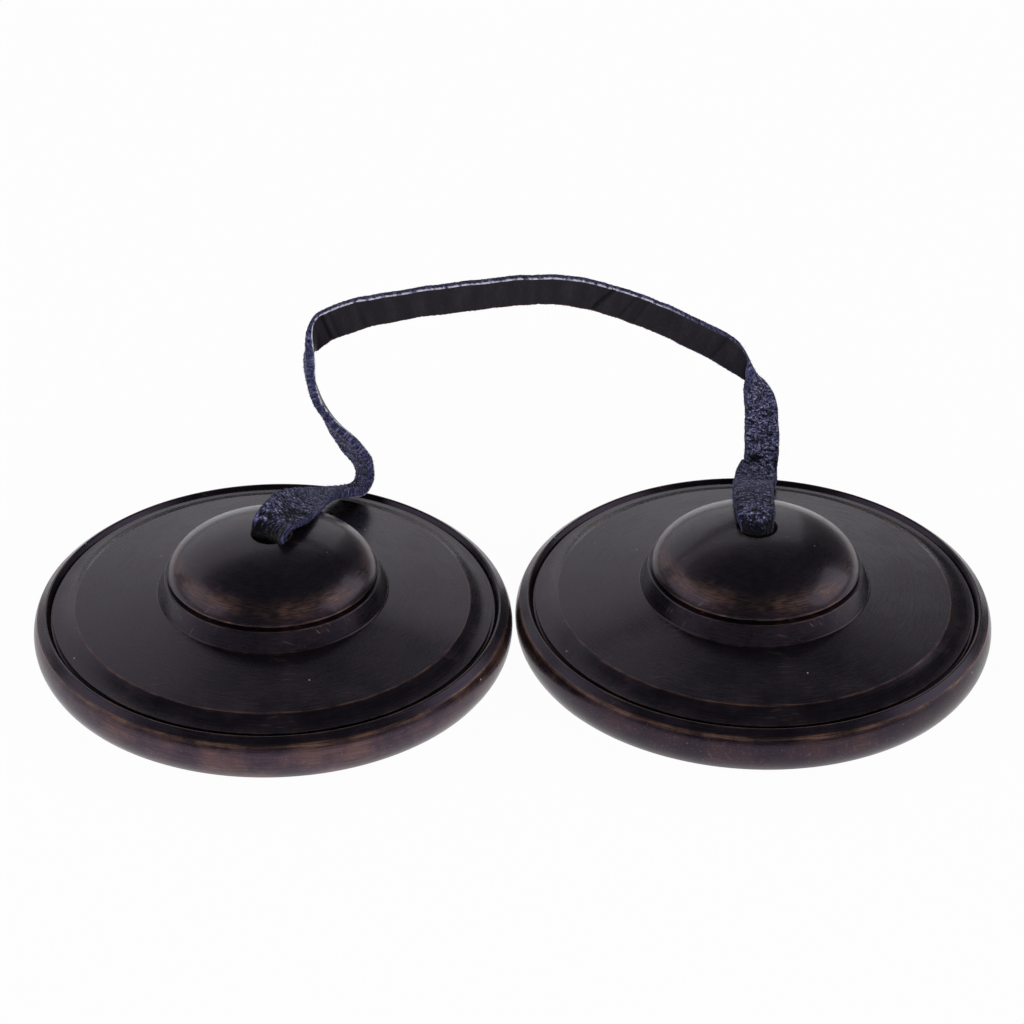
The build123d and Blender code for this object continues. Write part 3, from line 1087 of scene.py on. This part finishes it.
@dataclass
class Strap:
    """The flat leather strap, knotted inside each bell and folded behind each dome.

    Sizes are in metres. The holes are numbers of stations on the route. The wrinkles' stray is in
    radians, and a crease's reach is in spreads.
    """

    LEFT_HOLE = 3
    RIGHT_HOLE = -4
    FOLDS = (Fold(9, 0.3), Fold(-10, 1.0))
    PATH_STRIDE = 8

    leather: Leather
    step: float = 0.15 * MM
    neck_reach: float = 4.5 * MM
    neck_foot: float = 17.0 * MM
    mean_width: float = 5.0 * MM
    crown: Point = (3.666 * MM, 24.677 * MM, 41.343 * MM)
    crown_spread: float = 4.0 * MM
    creases: tuple[Crease, ...] = (
        Crease(-25.4 * MM, 0.22 * MM, 0.30 * MM),
        Crease(-24.4 * MM, 0.10 * MM, 0.25 * MM),
        Crease(-20.5 * MM, 0.07 * MM),
        Crease(13.0 * MM, 0.22 * MM, 0.30 * MM, 0.5),
        Crease(16.4 * MM, 0.10 * MM, 0.30 * MM, 0.35),
        Crease(18.2 * MM, 0.08 * MM, 0.30 * MM, 0.2),
        Crease(29.4 * MM, 0.10 * MM, 0.40 * MM, 0.3),
    )
    crease_reach: float = 4.0
    suede_swell: float = 0.6
    fold_wrinkle: float = 0.20 * MM
    fold_crease: float = 0.15 * MM
    fold_crease_width: float = 0.4 * MM
    fold_spread: float = 3.2 * MM
    fold_slant: float = 0.5
    wrinkle_spacing: float = 1.0 * MM
    wrinkle_stray: float = 1.6
    wrinkle_stray_size: float = 1.6 * MM
    # Painted shade on the necks inside the holes: where it starts, how far down it deepens and how dark it
    # gets
    hole_top: float = 20.0 * MM
    hole_shade_reach: float = 2.6 * MM
    hole_shade_strength: float = 0.45

    def lifts(self, line: Line) -> Lift:
        """Sets out the creases across the upper run and the wrinkles on the suede about both folds.

        Args:
            line: the strap's middle line.

        Returns:
            What raises the strap's surface.
        """
        creases_at = [(line.upper_run_at(crease.x), crease) for crease in self.creases]
        folds_at = [(line.stations_at[fold.station], fold.share) for fold in self.FOLDS]

        def lift_at(along: float, sideways: float, face: Face) -> float:
            """Height that one place is raised by."""
            if face is Face.CUT_EDGE:
                return 0.0
            lift = 0.0
            sink = 1 if face is Face.GRAIN else -self.suede_swell
            for at, crease in creases_at:
                off = (along - at - crease.slant * sideways) / crease.spread
                if abs(off) < self.crease_reach:
                    lift -= crease.depth * math.exp(-off * off) * sink
            if face is Face.GRAIN:
                return lift
            stray = noise.noise(Vector((along, sideways, 0)) / self.wrinkle_stray_size)
            for fold, share in folds_at:
                off = along + self.fold_slant * sideways - fold
                near = math.exp(-(off / self.fold_spread) ** 2)
                phase = 2 * math.pi * off / self.wrinkle_spacing + self.wrinkle_stray * stray
                lift += share * self.fold_wrinkle * near * math.cos(phase)
                lift -= share * self.fold_crease * math.exp(-(off / self.fold_crease_width) ** 2)
            return lift

        return lift_at

    def build(self) -> list[bpy.types.Object]:
        """Makes the strap and its two necks.

        Returns:
            The strap, then the left and right necks.
        """
        line = Line.through(STRAP_ROUTE, self.step)
        lifts = self.lifts(line)
        cut_left = line.stations_at[self.LEFT_HOLE] + self.neck_reach
        cut_right = line.stations_at[self.RIGHT_HOLE] - self.neck_reach
        bounds = [0.0, cut_left, cut_right, line.along[-1]]
        bounds = [float(line.along[np.argmin(np.abs(line.along - value))]) for value in bounds]
        left_neck, strap, right_neck = (
            self.leather.band(name, line.part(start, end), lifts)
            for name, start, end in zip(("left_neck", "strap", "right_neck"), bounds, bounds[1:])
        )
        # Painted shade where each neck goes down into its hole
        self.paint_hole_shade(left_neck)
        self.paint_hole_shade(right_neck)

        middle = line.part(bounds[1], bounds[2])
        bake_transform(strap)
        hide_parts("strap_left", "strap_right")
        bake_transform(left_neck)
        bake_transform(right_neck)
        return [strap, left_neck, right_neck]

    def paint_hole_shade(self, neck: bpy.types.Object) -> None:
        """Paints shade onto a neck, darker the deeper it goes down into the bell's hole.

        Args:
            neck: the stretch of strap in the hole.
        """
        for vertex, height in zip(neck.data.vertices, neck.data.attributes["nap"].data):
            depth = (self.hole_top - vertex.co.z) / self.hole_shade_reach
            height.value -= self.hole_shade_strength * min(1.0, max(0.0, depth))


@dataclass
class Knot:
    """Stop knot inside a bell: two crossing turns of the strap drawn tight, and a short tail.

    Sizes are in metres and the tail's lean is in degrees. Both ends of the turns are tucked in.
    """

    WAYS = {Side.LEFT: (0.88, -0.475, 0.0), Side.RIGHT: (-1.0, 0.0, 0.0)}
    TURNS = 2
    TURN_POINTS = 26
    TAIL_SHARES = (0.0, 0.35, 0.7, 1.0)

    side: Side
    leather: Leather
    height: float = 11.7 * MM
    turn_radius: float = 3.2 * MM
    turn_width: float = 3.4 * MM
    turn_rise: float = 1.4 * MM
    turn_lean: float = 0.35
    tuck: float = 0.25
    tuck_rate: float = 5.0
    tail_length: float = 6.9 * MM
    tail_width: float = 5.6 * MM
    tail_lean: float = 16.0
    tail_sway: float = 0.4 * MM
    tail_bend: float = 3.0
    step: float = 0.30 * MM

    def wrap(self, centre: Vector, way: Vector, back: Vector) -> list[Station]:
        """Sets out the knot's turns.

        Args:
            centre: middle of the knot.
            way: direction across the strap as it comes down into the knot.
            back: level direction square to it.

        Returns:
            The turns' route.
        """
        stations = []
        for k in range(self.TURN_POINTS + 1):
            share = k / self.TURN_POINTS
            angle = share * self.TURNS * 2 * math.pi
            crossing = 1 if share < 0.5 else -1
            tuck = min(1.0, self.tuck_rate * share + self.tuck, self.tuck_rate * (1 - share) + self.tuck)
            reach = self.turn_radius * tuck
            rise = Vector((0, 0, self.turn_rise * math.sin(angle) * crossing))
            place = centre + way * reach * math.cos(angle) + back * reach * math.sin(angle) + rise
            lean = back * (-crossing * self.turn_lean)
            stations.append(Station(tuple(place), tuple(Vector((0, 0, 1)) + lean), self.turn_width))
        return stations

    def tail(self, centre: Vector, way: Vector, back: Vector) -> list[Station]:
        """Sets out the knot's tail.

        Args:
            centre: middle of the knot.
            way: direction across the strap as it comes down into the knot.
            back: level direction square to it.

        Returns:
            The tail's route.
        """
        lean = math.radians(self.tail_lean)
        down = Vector((0, 0, -1)) * math.cos(lean) - back * math.sin(lean)
        stations = []
        for share in self.TAIL_SHARES:
            sway = back * self.tail_sway * math.sin(self.tail_bend * share)
            place = centre + down * self.tail_length * share + sway
            stations.append(Station(tuple(place), tuple(way), self.tail_width))
        return stations

    def build(self) -> bpy.types.Object:
        """Makes the knot.

        Returns:
            The knot as one piece.
        """
        body = f"{self.side.value}_knot"
        way = Vector(self.WAYS[self.side]).normalized()
        back = Vector((0, 0, 1)).cross(way)
        centre = Vector((self.side.sign * AXIS_OFFSET, 0, self.height))
        turns = self.leather.band(f"{body}_turns", Line.through(self.wrap(centre, way, back), self.step))
        tail = self.leather.band(f"{body}_tail", Line.through(self.tail(centre, way, back), self.step))

        bpy.ops.object.select_all(action="DESELECT")
        turns.select_set(True)
        tail.select_set(True)
        bpy.context.view_layer.objects.active = turns
        bpy.ops.object.join()
        turns.name = f"{self.side.value}_stop_knot"
        turns.select_set(False)
        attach(turns, body)
        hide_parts(body)
        return turns


@dataclass
class Studio:
    """White table, soft lamps and the camera. Lengths are in metres and angles in degrees."""

    eye: Point = (-0.017844, -0.411065, 0.279819)
    elevation: float = 32.21
    yaw: float = 2.429
    roll: float = 0.562
    field_of_view: float = 16.208
    clip: Span = (0.01, 50.0)
    table_size: float = 6.0
    table_tone: str = "f4f4f4"
    table_glow: float = 0.97
    room_level: float = 0.09
    lit_point: Point = (0.0, 0.0, 0.01)

    def camera(self) -> bpy.types.Object:
        """Sets up the camera at the photograph's viewpoint.

        Returns:
            The camera.
        """
        lens = bpy.data.cameras.new("camera")
        lens.sensor_fit = "HORIZONTAL"
        lens.angle = math.radians(self.field_of_view)
        lens.clip_start, lens.clip_end = self.clip
        holder = bpy.data.objects.new("camera", lens)
        down, turn, lean = (math.radians(angle) for angle in (self.elevation, self.yaw, self.roll))
        level = Vector((math.sin(turn), math.cos(turn), 0)) * math.cos(down)
        ahead = level - Vector((0, 0, math.sin(down)))
        right = Vector((math.cos(turn), -math.sin(turn), 0))
        up = right.cross(ahead)
        right, up = right * math.cos(lean) + up * math.sin(lean), up * math.cos(lean) - right * math.sin(lean)
        turned = Matrix((right, up, -ahead)).transposed().to_4x4()
        holder.matrix_world = Matrix.Translation(self.eye) @ turned
        bpy.context.scene.collection.objects.link(holder)
        bpy.context.scene.camera = holder
        return holder

    def table(self) -> bpy.types.Object:
        """Lays the white table, which looks evenly white to the camera and in polished metal.

        Returns:
            The table's object.
        """
        bpy.ops.object.select_all(action="DESELECT")
        bpy.ops.mesh.primitive_plane_add(size=self.table_size, location=(0, 0, 0))
        table = bpy.context.object
        table.name = "table"
        material, tree, shader = new_material(
            "white_table", Base_Color=linear(self.table_tone), Roughness=0.9, Specular_IOR_Level=0.0,
        )
        seen = add_node(tree, "ShaderNodeLightPath").outputs
        direct = chain(tree, "MAXIMUM", seen["Is Camera Ray"], seen["Is Glossy Ray"])
        share = chain(tree, "MULTIPLY", direct, self.table_glow)
        white = add_node(tree, "ShaderNodeEmission", {"Color": (1, 1, 1, 1), "Strength": 1.0}).outputs[0]
        mixed = add_node(tree, "ShaderNodeMixShader", {0: share, 1: shader.outputs[0], 2: white}).outputs[0]
        tree.links.new(mixed, tree.nodes["Material Output"].inputs["Surface"])
        table.data.materials.append(material)
        table.select_set(False)
        return table

    def lamp(self, name: str, place: Point, size: Span, watts: float, fill: bool = False) -> bpy.types.Object:
        """Hangs a soft box that points at the pair.

        Args:
            name: the lamp's name.
            place: where it hangs, in metres.
            size: width and height of its face.
            watts: its power.
            fill: True for a lamp that polished metal doesn't mirror.

        Returns:
            The lamp.
        """
        light = bpy.data.lights.new(name, "AREA")
        light.shape = "RECTANGLE"
        light.size, light.size_y = size
        light.energy = watts
        holder = bpy.data.objects.new(name, light)
        holder.location = place
        aim = Vector(self.lit_point) - Vector(place)
        holder.rotation_euler = aim.to_track_quat("-Z", "Y").to_euler()
        holder.visible_camera = False
        holder.visible_glossy = not fill
        bpy.context.scene.collection.objects.link(holder)
        return holder

    def light(self) -> None:
        """Lights the pair and makes the room behind it white to the camera."""
        self.lamp("back_panel", (-0.40, 1.3, 0.72), (2.2, 1.20), 7.0)
        self.lamp("left_box", (-1.2, -0.1, 0.6), (1.3, 0.9), 4.2)
        self.lamp("right_box", (1.2, 0.0, 0.6), (1.3, 0.9), 5.6)
        self.lamp("front_panel", (0.0, -1.45, 0.36), (2.0, 0.6), 19.0, fill=True)
        world = bpy.data.worlds.new("room")
        world.use_nodes = True
        tree = world.node_tree
        tree.nodes.clear()
        seen = add_node(tree, "ShaderNodeLightPath").outputs["Is Camera Ray"]
        room, white = (
            add_node(tree, "ShaderNodeBackground", {"Color": (1, 1, 1, 1), "Strength": level}).outputs[0]
            for level in (self.room_level, 1.0)
        )
        mixed = add_node(tree, "ShaderNodeMixShader", {0: seen, 1: room, 2: white}).outputs[0]
        add_node(tree, "ShaderNodeOutputWorld", {"Surface": mixed})
        bpy.context.scene.world = world


def main() -> None:
    """Dresses the pair and sets it on the table."""
    logging.basicConfig(level=logging.INFO)
    bpy.context.scene.view_settings.view_transform = "Standard"
    studio = Studio()
    studio.camera()
    studio.table()
    studio.light()
    leather = Leather()
    for piece in Strap(leather).build():
        LOG.info("strap piece %s", piece.name)
    finishes = {
        Side.LEFT: PatinatedBronze(),
        # The right cymbal's wall is painted darker: painted shade on the same bronze
        Side.RIGHT: PatinatedBronze(wall_tone="170f11", wall_warm="34231e"),
    }
    for side, bronze in finishes.items():
        LOG.info("knot %s", Knot(side, leather).build().name)
        LOG.info("cymbal %s", Cymbal(side).dress(bronze).name)


if __name__ == "__main__":
    main()
